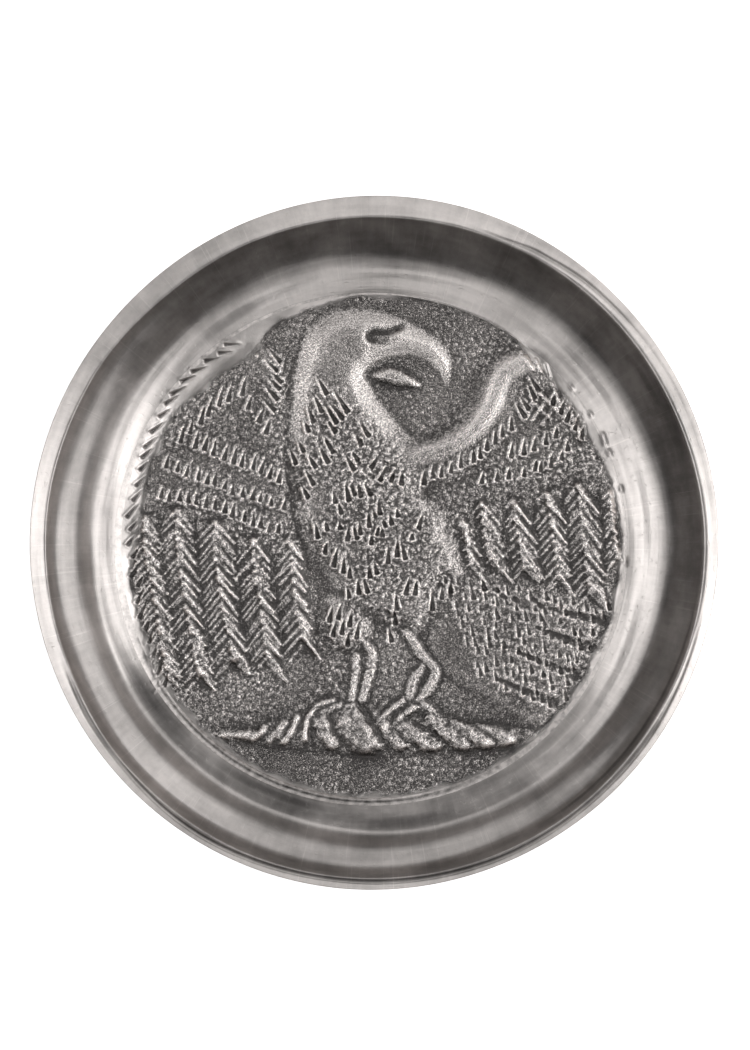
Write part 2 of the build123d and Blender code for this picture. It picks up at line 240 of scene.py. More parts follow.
def from_table(table, x, y):
    """Value of a polar table at any point of the dish."""
    column = np.clip((np.hypot(x, y) - RADII[0]) / RADIAL_STEP, 0, len(RADII) - 1.001)
    row = np.arctan2(y, x) % (2 * np.pi) / (2 * np.pi) * SEGMENTS
    r0, c0 = row.astype(int) % SEGMENTS, column.astype(int)
    return bilinear(table, r0, (r0 + 1) % SEGMENTS, c0, row % 1, column - c0)


def bowl_height(x, y):
    """Height of the dish's upper surface without the relief."""
    return from_table(BOWL, x, y)


# ------------ the raster on which the relief is drawn

CELL = 0.1
HALF_SIZE = 43.0
COUNT = int(round(2 * HALF_SIZE / CELL)) + 1
AXIS = np.linspace(-HALF_SIZE, HALF_SIZE, COUNT)
X, Y = np.meshgrid(AXIS, AXIS)
# Outlines are measured on every third line of the raster, and LERP spreads those values over all of it.
COARSE = 3
COARSE_LINES = np.arange((COUNT - 1) // COARSE + 1)
LERP = np.maximum(0, 1 - np.abs(np.arange(COUNT)[:, None] / COARSE - COARSE_LINES[None, :]))

FREQ_Y = np.fft.fftfreq(COUNT, CELL)[:, None]
FREQ_X = np.fft.rfftfreq(COUNT, CELL)[None, :]


def blur(field, sigma):
    """Gaussian blur, sigma in mm."""
    passed = np.exp(-2 * (np.pi * sigma) ** 2 * (FREQ_X**2 + FREQ_Y**2))
    return np.fft.irfft2(np.fft.rfft2(field) * passed, s=field.shape)


def grain(seed, size):
    """Random bumps about `size` mm across, with a spread of 1."""
    noise = blur(np.random.default_rng(seed).standard_normal((COUNT, COUNT)), size)
    return noise / noise.std()


def curve(points, closed=False, steps=6):
    """A smooth curve through the points."""
    p = np.array(points, float)
    if closed:
        before, after, last = np.roll(p, 1, 0), np.roll(p, -1, 0), np.roll(p, -2, 0)
    else:
        extended = np.vstack([2 * p[0] - p[1], p, 2 * p[-1] - p[-2]])
        before, p, after, last = extended[:-3], extended[1:-2], extended[2:-1], extended[3:]
    t = (np.arange(steps) / steps)[:, None, None]
    spans = 0.5 * (
        2 * p
        + (after - before) * t
        + (2 * before - 5 * p + 4 * after - last) * t**2
        + (3 * p - before - 3 * after + last) * t**3
    )
    line = spans.transpose(1, 0, 2).reshape(-1, 2)
    return line if closed else np.vstack([line, np.array(points[-1], float)])


def smooth_line(points, steps):
    """A smooth curve through the points, or the straight line between two."""
    return curve(points, steps=steps) if len(points) > 2 else np.array(points, float)


def along_curve(points, count):
    """`count` evenly spaced points on a smooth curve."""
    line = smooth_line(points, 12)
    steps = np.hypot(*np.diff(line, axis=0).T)
    reached = np.concatenate([[0], np.cumsum(steps)])
    wanted = np.linspace(0, reached[-1], count)
    return np.stack([np.interp(wanted, reached, line[:, k]) for k in (0, 1)], axis=1)


def segment_distance(px, py, a, b):
    """Distance of each point from the segment a-b, and how far along the segment its foot lies."""
    ab = b - a
    t = np.clip(((px - a[0]) * ab[0] + (py - a[1]) * ab[1]) / max(ab @ ab, 1e-9), 0, 1)
    return np.hypot(px - a[0] - t * ab[0], py - a[1] - t * ab[1]), t


def inside(points):
    """Distance in mm from a closed smooth outline, positive inside it."""
    outline = curve(points, closed=True)
    px, py = X[::COARSE, ::COARSE], Y[::COARSE, ::COARSE]
    nearest = np.full(px.shape, 1e9)
    within = np.zeros(px.shape, bool)
    for a, b in zip(outline, np.roll(outline, -1, 0)):
        nearest = np.minimum(nearest, segment_distance(px, py, a, b)[0])
        crosses = (a[1] > py) != (b[1] > py)
        if a[1] != b[1]:
            within ^= crosses & (px < a[0] + (py - a[1]) / (b[1] - a[1]) * (b[0] - a[0]))
    signed = np.where(within, nearest, -nearest)
    return LERP @ signed @ LERP.T


def window(points, margin):
    """The part of the raster within margin mm of the points."""
    p = np.atleast_2d(np.array(points, float))
    low = np.clip(((p.min(0) - margin + HALF_SIZE) / CELL).astype(int), 0, COUNT - 1)
    high = np.clip(((p.max(0) + margin + HALF_SIZE) / CELL).astype(int) + 1, 1, COUNT)
    return np.s_[low[1] : high[1], low[0] : high[0]]


def pad(distance, height, edge):
    """A flat pad whose rim slopes up gently over `edge` mm."""
    t = np.clip((distance + 0.25 * edge) / edge, 0, 1)
    return height * np.sin(np.pi / 2 * t) ** 2


# How far in from the top of a bevel its surface goes on rising.
TOP_REACH = 3.0


def bevel(distance, slope, width, rise):
    """An even slope `width` mm wide inside the outline, then a nearly flat top that rises a little more."""
    return slope * np.clip(distance, 0, width) + dome(distance - width, rise, TOP_REACH)


def dome(distance, height, reach):
    """A shallow swelling that keeps rising to `reach` mm inside the outline."""
    t = np.clip(distance / reach, 0, 1)
    return height * (1 - (1 - t) ** 2)


def stroke(field, points, width, height, taper=0.0):
    """Adds a low arched ridge, or with a negative height a groove, along a smooth line."""
    line = smooth_line(points, 4)
    area = window(line, width)
    px, py = X[area], Y[area]
    best = np.full(px.shape, 1e9)
    along = np.zeros(px.shape)
    total = len(line) - 1
    for i in range(total):
        distance, t = segment_distance(px, py, line[i], line[i + 1])
        closer = distance < best
        best = np.where(closer, distance, best)
        along = np.where(closer, (i + t) / total, along)
    half = width / 2 * (1 - taper * along)
    t = np.clip(1 - (best / half) ** 2, 0, 1)
    field[area] += height * t**1.1 * (1 - 0.5 * taper * along)


def bar(field, points, width, height):
    """Lifts the field to a rounded bar of the given height along a smooth line."""
    raised = np.zeros_like(field)
    stroke(raised, points, width, height)
    np.maximum(field, raised, out=field)


# How far the lip beside a tool mark spreads, and how high the lips on the right and at the base are beside
# the one on the left.
LIP_SPREAD = 0.2
RIGHT_LIP = 0.35
BASE_LIP = 0.55
# Half the width of a mark at its tip, and how far past the mark its lips may reach.
TIP_HALF = 0.05
MARK_MARGIN = 1.4


def chisel(field, tip, base, width, depth, burr):
    """One tool mark: a narrow pocket, pointed at the tip and blunt at the base.

    The metal it pushed out stands up as a lip along the left, a lower one along the right and a third at
    the base.
    """
    tip, base = np.array(tip, float), np.array(base, float)
    length = np.hypot(*(base - tip))
    ux, uy = (base - tip) / length
    area = window((tip, base), MARK_MARGIN)
    px, py = X[area] - tip[0], Y[area] - tip[1]
    along = px * ux + py * uy
    left = px * uy - py * ux
    t = np.clip(along / length, 0, 1)
    half = TIP_HALF + (width / 2 - TIP_HALF) * t**0.8
    ends = np.clip((length - along) / 0.2, 0, 1) * np.clip(along / 0.3, 0, 1)
    pocket = depth * t**0.4 * np.clip((half - np.abs(left)) / 0.2, 0, 1) * ends
    beside = ramp(along, -0.2, 0.3 * length) * (1 - ramp(along, length - 0.1, length + 0.3))
    lip_left = np.exp(-(((left - half - 0.12) / (1.4 * LIP_SPREAD)) ** 2))
    lip_right = RIGHT_LIP * np.exp(-(((left + half + 0.05) / LIP_SPREAD) ** 2))
    across = np.clip(1.3 - np.abs(left) / half, 0, 1)
    lip_base = BASE_LIP * np.exp(-(((along - length - 0.1) / LIP_SPREAD) ** 2)) * across
    field[area] += burr * np.maximum((lip_left + lip_right) * beside, lip_base) - pocket


def uneven_chisel(field, random, tip, base, widths, depths, burrs):
    """A tool mark of random width, depth and burr, each within a range."""
    chisel(field, tip, base, random.uniform(*widths), random.uniform(*depths), random.uniform(*burrs))


BEAD_PITCH = 0.5


def beads(field, line, random, height=0.13):
    """A broken line of small burrs pushed up along the foot of a row of marks."""
    length = np.hypot(*np.diff(np.array(line, float), axis=0).T).sum()
    for place in along_curve(line, int(length / BEAD_PITCH)):
        place = place + random.normal(0, 0.12, 2)
        end = place + random.normal(0, 0.22, 2)
        stroke(field, (place, end), random.uniform(0.45, 0.7), height * random.uniform(0.2, 1.2))


# ------------ the eagle

LEFT_WING = (
    (-13, 4), (-14, 12), (-13.6, 20), (-14.2, 27.5), (-16.5, 30.8), (-20, 32), (-24.5, 30.5), (-30, 26.5),
    (-34.5, 21), (-38, 14), (-39.6, 6), (-39.6, -2), (-38.5, -10), (-36, -17.5), (-33, -23), (-30, -22.5),
    (-26, -21.2), (-21, -19.2), (-16, -18.2), (-10.5, -16), (-9.5, -9), (-11, -3),
)
RIGHT_WING = (
    (6, 8), (5.5, 13.5), (8, 16.2), (12, 16.6), (14.8, 19.4), (16.8, 22.8), (18.2, 27), (20.5, 29.6),
    (24.5, 30.8), (28, 28.8), (31.6, 24.4), (34.4, 18), (37.2, 12), (38.8, 5), (38.9, -3), (38, -9),
    (36.6, -13), (33.6, -18), (30.5, -24), (26.5, -29.4), (20.5, -26.5), (14, -22.5), (9.5, -19),
    (8.5, -12), (9.5, -6), (7, 0),
)
BIRD = (
    (-13.4, 22), (-13, 26), (-12.3, 29), (-11.6, 32), (-10.5, 34), (-9, 35.5), (-7, 36.8), (-5, 37.3),
    (-2, 37.4), (1, 37), (4.5, 35.7), (8, 33.9), (10, 32.7), (11.3, 31.2), (12.1, 29.5), (12.2, 27.6),
    (11.7, 25.4), (11, 26), (10.2, 27.4), (8.4, 29), (6, 29.7), (3.2, 29.3), (1, 28.5), (-0.6, 27.2),
    (-0.8, 25.6), (0.6, 23), (2.6, 20.4), (4.8, 17.6), (7.2, 15.4), (9, 12.8), (9.4, 10), (8.8, 7.2),
    (10.9, 3.6), (12.5, 0), (13.4, -4.2), (10.6, -8.4), (9.4, -12.4), (5.6, -13.8), (1, -13), (-4, -12),
    (-6.6, -8.4), (-8.4, -4.5), (-10.8, -1), (-13, 4), (-13.4, 9), (-13.9, 16),
)
LOWER_BEAK = (
    (-0.2, 27), (1.4, 27.9), (3.2, 27.9), (5.2, 27.1), (6.8, 25.9), (7.2, 24.9), (5.2, 24.8), (2.6, 25.3),
    (0.4, 26),
)
LEFT_THIGH = (
    (-7.6, -8), (-8.4, -11), (-8.2, -14), (-6.6, -17.2), (-3.4, -17.6), (-0.8, -16.4), (0, -13), (-1, -9),
    (-4, -7),
)
RIGHT_THIGH = ((1.5, -9), (4.4, -13.2), (5.8, -15.4), (8, -14.6), (9.8, -12), (10.6, -8), (6, -6))
STONE_PILE = (
    (-25.4, -31), (-24.8, -30), (-20.5, -29.6), (-16, -28.3), (-13.5, -27), (-11, -25.2), (-8, -24.8),
    (-3.5, -24.9), (-1.5, -26), (0.5, -25.4), (3, -24.5), (5.5, -23.9), (9, -25.5), (11, -27.5),
    (14, -28.5), (18, -29), (22, -29.6), (25, -30.2), (25.6, -31.2), (21.7, -32.6), (18.3, -33.1),
    (15.3, -33.4), (9.7, -33.5), (4, -33.8), (-1, -34.1), (-8, -33.2), (-14, -32.6), (-20, -31.9),
)
# The right wing's leading edge, which rises from the breast: its bright outer fold and the whole shoulder.
SHOULDER_EDGE = ((6, 13.6), (10.6, 15), (15.6, 18), (18.7, 22.4), (19.6, 25.2), (21.4, 27.8), (26, 29.2))
SHOULDER = (
    (0, 17.6), (3.4, 13.8), (7.6, 12.9), (11.6, 13.6), (14.6, 15.8), (17, 18.8), (19.4, 22.6), (20.6, 26),
    (23, 28.2), (26, 28.6),
)

# The bright fold down the bird's right side.
BODY_RIDGE = ((8, 5.8), (9.8, 4), (10.6, 1.2), (12, -1), (12.8, -4.2))


def draw_masses():
    """The smooth raised shapes: wings, bird and thighs."""
    wings = np.maximum(pad(inside(LEFT_WING), 0.3, 2.0), pad(inside(RIGHT_WING), 0.3, 2.0))
    shoulder = np.zeros_like(X)
    stroke(shoulder, SHOULDER, 8.2, 0.6)
    stroke(shoulder, SHOULDER_EDGE, 4.0, 0.44)
    field = wings + shoulder * (1 - 0.5 * wings)
    bird = inside(BIRD)
    field = np.maximum(field, bevel(bird, 0.38, 2.8, 0.2))
    stroke(field, BODY_RIDGE, 3.4, 0.34)
    for outline, width in ((LEFT_THIGH, 2.0), (RIGHT_THIGH, 2.4)):
        field = np.maximum(field, bevel(inside(outline), 0.4, width, 0.15))
    beyond = np.hypot(X, Y) - around(np.arctan2(Y, X), BUFF_START)
    return blur(field * (1 - ramp(beyond, -1.2, 1.6)), 0.35)


# Tool marks placed one by one, each from its tip to its base: x, y, x, y.
NECK_MARKS = (
    (-9.5, 27, -7.5, 23.6), (-7.1, 25.2, -4.1, 20.7), (-9.9, 24, -8.3, 20.7), (-8, 22.5, -6, 18.9),
    (-7.3, 22.5, -4.9, 19.7), (-10.9, 22.1, -9.6, 19.1), (-7.8, 19.9, -6.1, 17.5),
    (-11.4, 19.7, -10.4, 17.5), (-2.6, 19.9, -0.8, 16.8), (-3.4, 17.9, -1.9, 15.4),
    (-8.4, 17.5, -6.5, 14.2), (-9.1, 15.8, -7.3, 12.6), (-12.5, 16.6, -11.2, 14.4),
    (-13.7, 15.4, -12.5, 12.4), (-10.8, 14.4, -9.3, 11.8), (-5.2, 14.8, -3.1, 11.4), (-3.9, 15, -2.5, 13),
    (-11.3, 12, -9.6, 9.1), (0.8, 14, -0.6, 11.8), (2, 12.4, 0.8, 9.7), (3.4, 12, 2.6, 9.5),
    (4.5, 11.8, 4.3, 9.1),
)
BREAST_MARKS = (
    (-4.7, 9.5, -4, 6.5), (-4, 9.8, -3, 7.4), (-2.8, 9.8, -2.1, 7.1), (-1.8, 9.7, -0.4, 7.4),
    (0.6, 7.3, 0.9, 4.3), (-11.8, 9.3, -10.5, 7), (-6.6, 8.5, -6.2, 6.2), (-5.9, 6.6, -5.2, 4.5),
    (-9.6, 3.5, -9, 0.5), (-7.9, 3.6, -7.5, 1.8), (-5.6, 3.6, -5.5, 2), (-4.1, 2.8, -4.3, 0.1),
    (-3.5, 3, -2.7, 0.4), (-2.5, 3.8, -2.2, 1.1), (-1, 5.1, -0.8, 2.3), (-0.3, 5.2, 0.3, 3.9),
    (1.2, 3.9, 1.9, 2.3), (2.4, 4.8, 2.8, 2.7), (3.5, 5.9, 3.8, 4), (0.7, 2.8, 0.5, 1),
    (-0.4, 1.6, -0.5, -0.5), (1.2, 2.9, 1.3, 0.8), (-7.5, 0.4, -8, -2), (-5.7, -0.2, -6.6, -4),
    (-4.8, -1.7, -5, -5), (-3.9, -3.4, -4, -5.8), (2.2, -0.2, 2.2, -3.5), (3.7, 0.8, 3.6, -2.4),
    (4.2, 0.6, 5, -2.8), (-0.2, -2.8, 0.5, -5.2), (-0.9, -3.4, -0.7, -5.8), (-2.7, -5.5, -2.5, -8.4),
    (-1.8, -5.5, -1, -8.2), (-4.4, -6.8, -4, -9), (5.6, -5.4, 5, -8.5), (6.8, -5.5, 6.5, -8.5),
    (3.4, -7.8, 3.6, -11), (3.1, -10.5, 3.4, -13.3), (2.2, -13.2, 2.8, -16), (9.3, -7.2, 9.3, -11),
    (10.8, -7, 10.8, -9.2), (12.1, -6, 12.3, -8.2), (7.8, 4.8, 7, 2), (6.1, 1.8, 6, 0.3),
)
# Feathers over the left thigh.
THIGH_MARKS = (
    (-6.6, -9.8, -7.3, -12.8), (-5.2, -9.4, -5.9, -12.4), (-6.2, -12.6, -6.7, -15.2),
    (-4.8, -12, -5.3, -14.8), (-3.6, -10.6, -4, -13.6), (-4, -14, -4.4, -16.8),
    (-2.4, -12.4, -2.9, -15.6),
)


# Rows of tool marks: the curve their bases lie on, how many there are, and their reach from base to tip.
LEFT_ROWS = (
    (((-31, 16.2), (-26, 20.6), (-21.6, 23.5)), 7, (0.8, 3.4)),
    (((-20.2, 21.2), (-18.9, 19.6), (-17.5, 17.2)), 3, (0.9, 2.6)),
    (((-28.7, 14.8), (-22, 12.2), (-15.4, 9.5)), 10, (0.7, 3)),
    (((-33.2, 11.6), (-26, 9), (-15, 5.3)), 13, (0.4, 2.3)),
    (((-34.4, 6.9), (-26.8, 5.4), (-15.5, 1.3)), 14, (0.3, 2.4)),
)
WING_TOP_ROW = (((-14.8, 28.7), (-15.1, 25.0), (-15.6, 21.0)), 6, (-2.4, 2.3))
RIGHT_ROWS = (
    (((7.7, 9.2), (12, 11), (16.5, 13.1), (21.8, 17.8)), 11, (0, 2.5)),
    (((24.1, 19.7), (25.8, 22.6), (26.5, 24)), 4, (-1.6, 2.4)),
    (((17.2, 9.6), (21, 9.6), (25.7, 11)), 5, (0.2, 2.3)),
    (((22, 13.2), (25.5, 14.6), (29, 16.6)), 5, (0.2, 2.7)),
    (((26.3, 11.4), (28.4, 12.2), (31, 14.3)), 4, (0.2, 2.2)),
    (((28.5, 22), (31, 19.3), (33, 16.4)), 5, (0.8, 2.6)),
)
# The outer edge of the left wing: the arc on which the marks' inner ends lie, and how many there are. The
# top mark points left, along EDGE_TURN. Down the arc they turn on by EDGE_FIRST_TURN within its first
# quarter, and by EDGE_LATER_TURN over all of it, in degrees.
EDGE_INNER = (
    (-20.5, 31.7), (-28.4, 26.6), (-33.4, 19.6), (-36.6, 10.6), (-37.6, 1.6), (-36.8, -6.6), (-35.2, -14),
    (-32.7, -20),
)
EDGE_COUNT = 27
EDGE_TURN = 180
EDGE_FIRST_TURN = 20
EDGE_LATER_TURN = 58
# Crossing strokes and ticks near the tip of the right wing.
WING_STROKES = (
    ((25.2, 19.6), (27.4, 22.6)), ((26.8, 19), (28.9, 21.8)), ((25.2, 22.4), (28.2, 19.8)),
    ((26.2, 24.2), (29, 21.2)), ((28.4, 25.4), (29.6, 22)), ((24.2, 29.6), (25.2, 27.6)),
    ((25.8, 29.2), (26.6, 27.4)), ((27.4, 28.4), (28, 26.6)), ((31, 21.6), (31.8, 19.4)),
    ((32.2, 19.4), (33, 16.6)),
)
# Casting pits in the buffed strip on the right, each with its width.
PITS = (
    (((36.5, 17.2), (36.9, 15.8)), 1.2), (((37.5, 14.6), (37.7, 14)), 1),
    (((31.4, 25), (31.7, 24.6)), 0.9), (((34.5, 20.7), (34.7, 20.3)), 0.8),
    (((39.4, 8.9), (39.5, 8.3)), 0.8), (((40.1, -2.6), (40.1, -3.4)), 0.8),
)
PIT_DEPTH = 0.16


def draw_pits(field):
    """Shallow casting pits in the buffed strip, with soft edges."""
    pits = np.zeros_like(field)
    for line, width in PITS:
        stroke(pits, line, width, -PIT_DEPTH)
    field += blur(pits, 0.18)


def draw_wing_strokes(field):
    """The crossing strokes on the right wing."""
    for line in WING_STROKES:
        stroke(field, line, 0.9, 0.2)


def draw_marks(field, random):
    """The tool marks of the neck, breast and wings."""
    for mark in NECK_MARKS + BREAST_MARKS + THIGH_MARKS:
        chisel(field, mark[:2], mark[2:], 0.95, 0.3, 0.24)
    for line, count, reach in LEFT_ROWS + RIGHT_ROWS + (WING_TOP_ROW,):
        for base in along_curve(line, count):
            base = base + random.normal(0, 0.18, 2)
            tip = base + np.array(reach) * random.uniform(0.85, 1.15) + random.normal(0, 0.12, 2)
            uneven_chisel(field, random, tip, base, (0.75, 1.0), (0.2, 0.28), (0.14, 0.22))
        beads(field, line, random)
    for i, inner in enumerate(along_curve(EDGE_INNER, EDGE_COUNT)):
        t = i / (EDGE_COUNT - 1)
        turn = math.radians(EDGE_TURN + EDGE_FIRST_TURN * min(1, 4 * t) + EDGE_LATER_TURN * t)
        reach = np.array((math.cos(turn), math.sin(turn))) * random.uniform(2.6, 3.6)
        inner = inner + random.normal(0, 0.15, 2)
        chisel(field, inner, inner + reach, 0.8, 0.24, 0.09)


# Feather shafts of the two vaned areas: the shaft's line, then the reach of its barbs to the left and right.
LEFT_VANES = (
    (((-36.7, 4), (-36.7, 0), (-35, -10), (-33, -21.5)), 2.2, 2.6),
    (((-31.5, 5), (-31.5, 0), (-30.5, -8), (-28, -21.5)), 2.8, 2.9),
    (((-25.5, 3), (-25.5, 0), (-24.7, -8), (-22.4, -19)), 3, 3.2),
    (((-19.5, 0.6), (-19.5, -1), (-18.5, -8), (-17.2, -18.5)), 3.1, 2.9),
    (((-13.6, 0.2), (-13.5, -1), (-12.5, -10), (-11.3, -15.8)), 2.9, 2.4),
)
RIGHT_VANES = (
    (((14.2, 3), (15.4, -3.6)), 0.8, 2.2), (((17, 6), (18.5, -3)), 1, 3.4),
    (((22.2, 6.5), (24, -4.5)), 1.6, 3), (((27.5, 8), (29.5, -6)), 2.2, 2.6),
    (((32.5, 9.3), (34.5, -8)), 2.4, 3.2), (((37.6, 8), (38.8, -2.5)), 1.6, 0.6),
)
# Steps along a shaft from barb to barb, and how far a barb drops for each mm that it runs out.
BARB_PITCH = 1.15
BARB_DROP = 1.2
# How high a vane swells at its shaft.
VANE_SWELL = 0.3


def draw_vanes(field, random):
    """Each vane swells towards its shaft, and at every step carries a barb to the left and to the right."""
    for line, left_reach, right_reach in LEFT_VANES + RIGHT_VANES:
        shaft = along_curve(line, 24)[::-1]
        middle = np.interp(Y, shaft[:, 1], shaft[:, 0])
        side = X - middle
        reach = np.where(side < 0, left_reach, right_reach)
        bottom, top = shaft[0, 1], shaft[-1, 1]
        within = ramp(Y, bottom - 0.5, bottom + 0.8) * ramp(-Y, -top - 0.8, 0.5 - top)
        field += VANE_SWELL * np.clip(1 - np.abs(side) / reach, 0, 1) * within
        steps = int((top - bottom) / BARB_PITCH)
        for root in along_curve(line, steps + 1):
            for turn, length, boldness in ((-1, left_reach, 0.7), (1, right_reach, 1.1)):
                start = root + np.array((0.1 * turn, random.uniform(-0.5, 0.5)))
                run = length * random.uniform(0.65, 1.05)
                end = start + np.array((turn * run, -run * BARB_DROP * random.uniform(0.85, 1.15)))
                height = boldness * random.uniform(0.15, 0.28)
                stroke(field, (start, end), boldness * random.uniform(1.0, 1.35), height, 0.5)


TAIL_ROWS = 9
TAIL_PITCH = 1.7
# Dark valleys between the tail feathers, widest at the outer edge.
TAIL_VALLEYS = (
    ((36.4, -12.7), (33, -11.8), (28, -10.6)), ((34.6, -17), (31, -15.6), (26, -13.6)),
    ((32, -21.2), (28.4, -19.8), (23, -17.6)), ((28.6, -25.4), (25.2, -24.2), (20, -22)),
)
# Small pockets along the tail's upper edge.
TAIL_HOLES = ((17.4, -7.2), (19.4, -7.5), (20.6, -8.5), (22.5, -9), (25.5, -9), (26.5, -10))


def draw_tail(field, random):
    """Small dense marks over the lower feathers on the right, in rows that fan out downwards."""
    for line in TAIL_VALLEYS:
        stroke(field, line, 2.4, -0.27, 0.7)
    for x, y in TAIL_HOLES:
        stroke(field, ((x - 0.2, y), (x + 0.3, y - 0.3)), 1.0, -0.22)
    for row in range(TAIL_ROWS):
        t = row / (TAIL_ROWS - 1)
        start = np.array((11.5 + 6.0 * t, -6.6 - 15.0 * t))
        end = np.array((38.0 - 9.5 * t, -11.4 - 15.6 * t))
        count = int(np.hypot(*(end - start)) / TAIL_PITCH)
        for base in along_curve((start, end), count):
            base = base + random.normal(0, 0.42, 2)
            reach = np.array((-0.5, 2.0)) * random.uniform(0.6, 1.3)
            uneven_chisel(field, random, base + reach, base, (0.6, 1.0), (0.18, 0.3), (0.06, 0.14))
        beads(field, (start, end), random, 0.09)


# Grooves under the brow and under the eye, then the pupil, the cheek, and the grooves above and below the
# lower beak: line, width, height, taper.
HEAD_STROKES = (
    (((-0.2, 33.2), (1.8, 33.6), (4.4, 34.6)), 3, -0.45, 0.6),
    (((-1, 32.9), (-0.2, 32.2), (0.9, 31.9), (2.2, 32.3)), 1.5, -0.26, 0.3),
    (((0.3, 32.8), (1.2, 32.8)), 1.2, 0.1, 0), (((-2.2, 33), (-1.8, 31.2), (-1.3, 29)), 2.6, 0.1, 0.3),
    (((-1, 26.8), (0.8, 28.2), (3.4, 28.9), (6.2, 28.9), (8.4, 27.8)), 1.8, -0.3, 0),
    (((-0.8, 26.4), (1.6, 25.2), (5, 24.2), (7, 24.2)), 1.6, -0.25, 0),
)
# Painted shade of the eye under the brow: a dark band added to the patina of the hollows.
EYE_PAINTED_SHADE = ((-0.6, 33), (1.2, 33.2), (3.4, 34.2))


def draw_head(field):
    """Brow, eye, beak and mouth, all with soft edges."""
    head = np.zeros_like(field)
    for line, width, height, taper in HEAD_STROKES:
        stroke(head, line, width, height, taper)
    beak = inside(LOWER_BEAK)
    field += blur(head, 0.25)
    np.maximum(field, blur(bevel(beak, 0.5, 0.9, 0.1) + 0.25 * ramp(beak, -0.3, 0.3), 0.15), out=field)


# Shanks, each as a smooth line, a width and a height.
SHANKS = (
    (((-2.9, -18.2), (-3.1, -21), (-3.6, -25)), 1.7, 0.36),
    (((-2, -15.6), (-0.4, -17.6), (-0.7, -20.4), (-2, -25)), 2, 0.42),
    (((5.4, -14.4), (7.4, -17.8), (9.7, -20.3), (9, -22.6), (7.2, -25.2)), 2.2, 0.5),
    (((7.6, -19.8), (6.2, -22), (5.6, -24.8)), 1.9, 0.36),
)
BETWEEN_LEGS = ((0.6, -14.6), (3.4, -16.6), (6.4, -19.4))


def draw_legs(field):
    """Shanks and the hollow between the legs."""
    for line, width, height in SHANKS:
        bar(field, line, width, height)
    stroke(field, BETWEEN_LEGS, 2.2, -0.3)


# Stones: root and lower end of each lump, then its width and its height above the heap.
STONE_LUMPS = (
    (17.4, -28.9, 21.4, -31.9, 2.9, 0.45), (13, -28.6, 17.6, -32.2, 3.6, 0.6),
    (9.4, -28.4, 14.4, -32.4, 3.4, 0.6), (4.6, -29.6, 9.2, -32.8, 3.4, 0.55),
    (-4.2, -28.6, -1.4, -32, 5.4, 0.8), (1.6, -29.4, 4, -32.2, 2.8, 0.45),
    (-8.6, -28.8, -7, -32.2, 3, 0.5), (-23.6, -30.9, -19.6, -30.6, 2.6, 0.3),
)
# Ridges over the heap: toes and the stones' edges.
STONE_RIDGES = (
    ((-19.6, -31.6), (-17.8, -29.8)), ((-16.8, -32), (-14.6, -29)),
    ((-14.6, -32.2), (-13.4, -30.2), (-12.4, -28)),
    ((-11.2, -31.4), (-10.7, -28.2), (-9, -26), (-6.6, -25.2)), ((-9, -28.4), (-7.6, -26.8), (-5.6, -26)),
    ((-5.9, -29), (-5, -26.8), (-3.2, -25.7)), ((0.6, -29), (2.2, -27), (4.4, -25.4)),
    ((2.4, -30), (4.6, -27.6), (6.8, -26.2)), ((7.6, -25.6), (9.6, -27.2), (11, -28.6)),
)
STONE_GAPS = (
    ((-2, -26), (-0.4, -28.2), (1, -31.4)), ((6.4, -27), (8.4, -28.6), (9.6, -30.4)),
    ((-10, -30.2), (-9.6, -33)),
)


def draw_stones(field, random):
    """The heap of stones the bird stands on: it stands higher towards its lower edge."""
    heap = inside(STONE_PILE)
    lumps = np.zeros_like(field)
    for x0, y0, x1, y1, width, height in STONE_LUMPS:
        bar(lumps, ((x0, y0), (x1, y1)), width, height)
    for line in STONE_RIDGES:
        bar(lumps, line, random.uniform(1.2, 1.8), random.uniform(0.26, 0.42))
    for line in STONE_GAPS:
        stroke(lumps, line, 1.6, -0.2)
    lumps += 0.06 * grain(31, 0.35)
    stones = dome(heap + 0.3, 1, 3.5) * (0.2 + 0.4 * ramp(-Y, 25, 33)) + ramp(heap, -0.3, 0.7) * lumps
    np.maximum(field, blur(stones, 0.14), out=field)


def draw_relief():
    """Height of the relief above its ground, in mm, and how deep each point lies in a mark or gap, with the
    painted shade of the eye on top.
    """
    random = np.random.default_rng(7)
    field = draw_masses()
    draw_legs(field)
    draw_stones(field, random)
    draw_head(field)
    draw_pits(field)
    smooth = field.copy()
    draw_vanes(field, random)
    draw_marks(field, random)
    draw_tail(field, random)
    draw_wing_strokes(field)
    field = blur(field, 0.05)
    details = field - smooth
    hollows = ramp(blur(details, 0.9) - details, 0.03, 0.16)
    # Painted shade: the eye under the brow is painted dark.
    eye_shade = np.zeros_like(field)
    bar(eye_shade, EYE_PAINTED_SHADE, 3.0, 1.0)
    return field, np.maximum(hollows, eye_shade)


RELIEF, HOLLOWS_AND_EYE_SHADE = draw_relief()
IN_BIRD = inside(BIRD)


def smooth_parts():
    """Where the casting is smooth, which is on the head, the neck's edges and two folds, and which is also
    painted brighter; and those edges, where a stronger painted highlight goes.
    """
    neck_edge = ramp(Y, 13, 20) * (1 - ramp(IN_BIRD, 2.2, 3.2))
    smooth = ramp(IN_BIRD, -0.6, 0.6) * np.maximum(ramp(Y + 0.9 * X, 14, 24), neck_edge)
    folds = np.zeros_like(X)
    bar(folds, SHOULDER_EDGE, 4.8, 1.2)
    bar(folds, BODY_RIDGE, 4.0, 1.0)
    return np.maximum(smooth, np.clip(folds, 0, 1)), neck_edge


def buffed_part():
    """Where the buffing wheel reached, past an uneven line near the disc's rim; not down in the hollows."""
    past = np.hypot(X, Y) - around(np.arctan2(Y, X), BUFF_START)
    return ramp(past + 0.25 * grain(5, 0.7), -0.5, 0.6) * (1 - 0.9 * HOLLOWS_AND_EYE_SHADE)


